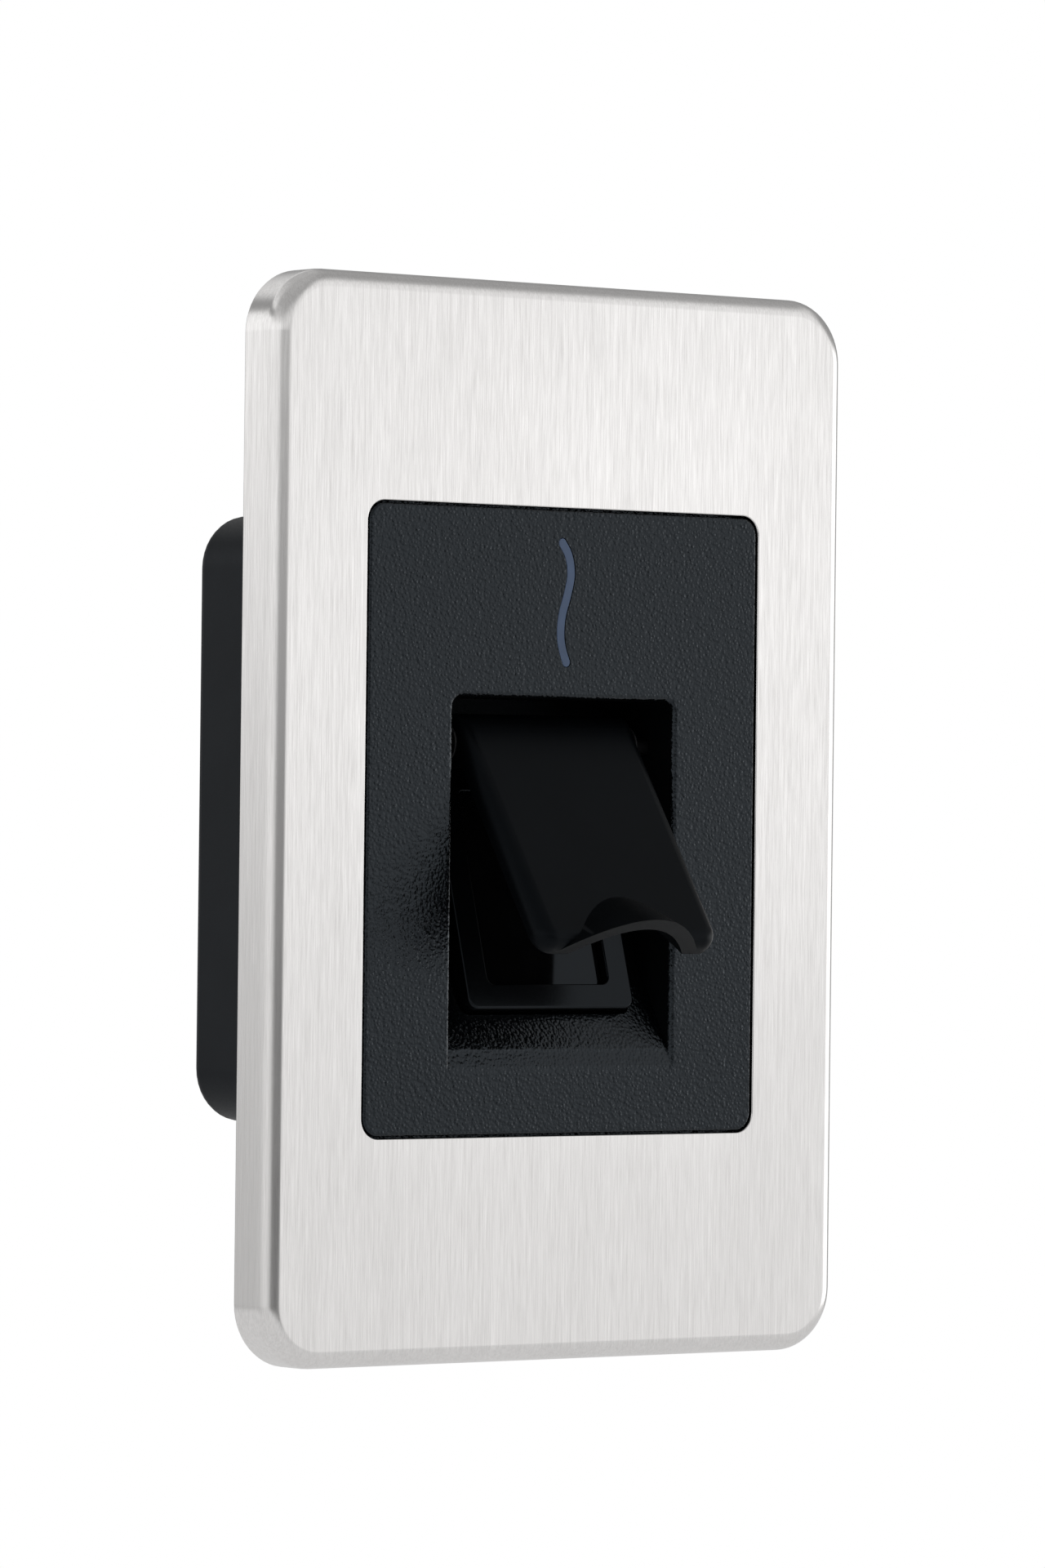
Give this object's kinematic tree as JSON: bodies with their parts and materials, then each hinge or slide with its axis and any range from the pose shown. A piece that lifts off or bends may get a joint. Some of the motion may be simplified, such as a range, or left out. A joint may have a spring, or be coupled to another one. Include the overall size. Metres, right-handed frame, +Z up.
{
  "type": "fingerprint scanner terminal",
  "caption": "Flush wall-mounted fingerprint scanner with a brushed steel face plate, grained black bezel, wavy indicator strip, flip cover over the sensor window and a rear housing.",
  "frame": {"origin": "middle of the face plate, on the wall plane that the mounting bracket and the rim of the face plate lie against", "axes": "+X to the right seen from the front, +Y into the wall, +Z up"},
  "size_m": [0.0834, 0.0566, 0.124],
  "materials": {
    "stainless": "vertically brushed",
    "grained_black": "leather-grained",
    "satin_black": "satin",
    "matt_black": "matt",
    "diffuser": "translucent blue-grey",
    "dark_glass": "polished dark glass",
    "lens_glass": "polished",
    "black_rubber": "matt",
    "acetal": "black, self-lubricating",
    "black_oxide": "black oxide on steel",
    "zinc_steel": "zinc plated",
    "laminate": "solder mask",
    "epoxy": "moulded",
    "led_white": "clear encapsulated",
    "green_plug": "moulded",
    "white_plug": "moulded",
    "red_plastic": "moulded",
    "aluminium_can": "satin",
    "ferrite": "sintered",
    "flex_film": "polyimide"
  },
  "bodies": {
    "terminal": {"board_screw_1": "zinc_steel", "board_screw_2": "zinc_steel", "bus_socket": "green_plug", "buzzer": "epoxy", "capacitor": "aluminium_can", "crystal_can": "aluminium_can", "dip_switch_body": "red_plastic", "face_plate": "stainless", "friction_washer_left": "acetal", "friction_washer_right": "acetal", "front_bezel": "grained_black", "hinge_pin": "black_oxide", "housing_gasket": "black_rubber", "housing_screw_1": "zinc_steel", "housing_screw_2": "zinc_steel", "housing_screw_3": "zinc_steel", "housing_screw_4": "zinc_steel", "illumination_board": "laminate", "illumination_led_1": "led_white", "illumination_led_2": "led_white", "image_sensor_board": "laminate", "image_sensor_chip": "epoxy", "indicator_board": "laminate", "indicator_led_1": "led_white", "indicator_led_2": "led_white", "indicator_ribbon": "flex_film", "indicator_screw_1": "zinc_steel", "indicator_screw_2": "zinc_steel", "inductor": "ferrite", "lens_barrel": "matt_black", "lens_element": "lens_glass", "light_guide": "diffuser", "main_board": "laminate", "mcu_chip": "epoxy", "memory_chip": "epoxy", "module_screw_1": "zinc_steel", "module_screw_2": "zinc_steel", "mounting_bracket": "zinc_steel", "optics_chamber": "matt_black", "panel_seal": "black_rubber", "platen_prism": "dark_glass", "power_socket": "white_plug", "rear_housing": "matt_black", "security_screw": "zinc_steel", "sensor_board_screw_1": "zinc_steel", "sensor_board_screw_2": "zinc_steel", "sensor_frame": "satin_black", "sensor_ribbon": "flex_film", "stud_nut_1": "zinc_steel", "stud_nut_2": "zinc_steel", "stud_nut_3": "zinc_steel", "stud_nut_4": "zinc_steel", "transceiver_chip": "epoxy"},
    "cover": {"flip_cover": "satin_black"},
    "address_switch_1": {"dip_slider_1": "white_plug"},
    "address_switch_2": {"dip_slider_2": "white_plug"},
    "address_switch_3": {"dip_slider_3": "white_plug"},
    "address_switch_4": {"dip_slider_4": "white_plug"}
  },
  "joints": [
    {"name": "cover_hinge", "type": "hinge", "parent": "terminal", "child": "cover", "pos_m": [0, -0.00056, 0.0089], "axis": [-1, 0, 0], "range_deg": [-27, 50]},
    {"name": "address_slide_1", "type": "slide", "parent": "terminal", "child": "address_switch_1", "axis": [0, 0, 1], "range_m": [0, 0.0014]},
    {"name": "address_slide_2", "type": "slide", "parent": "terminal", "child": "address_switch_2", "axis": [0, 0, 1], "range_m": [0, 0.0014]},
    {"name": "address_slide_3", "type": "slide", "parent": "terminal", "child": "address_switch_3", "axis": [0, 0, 1], "range_m": [0, 0.0014]},
    {"name": "address_slide_4", "type": "slide", "parent": "terminal", "child": "address_switch_4", "axis": [0, 0, 1], "range_m": [0, 0.0014]}
  ]
}
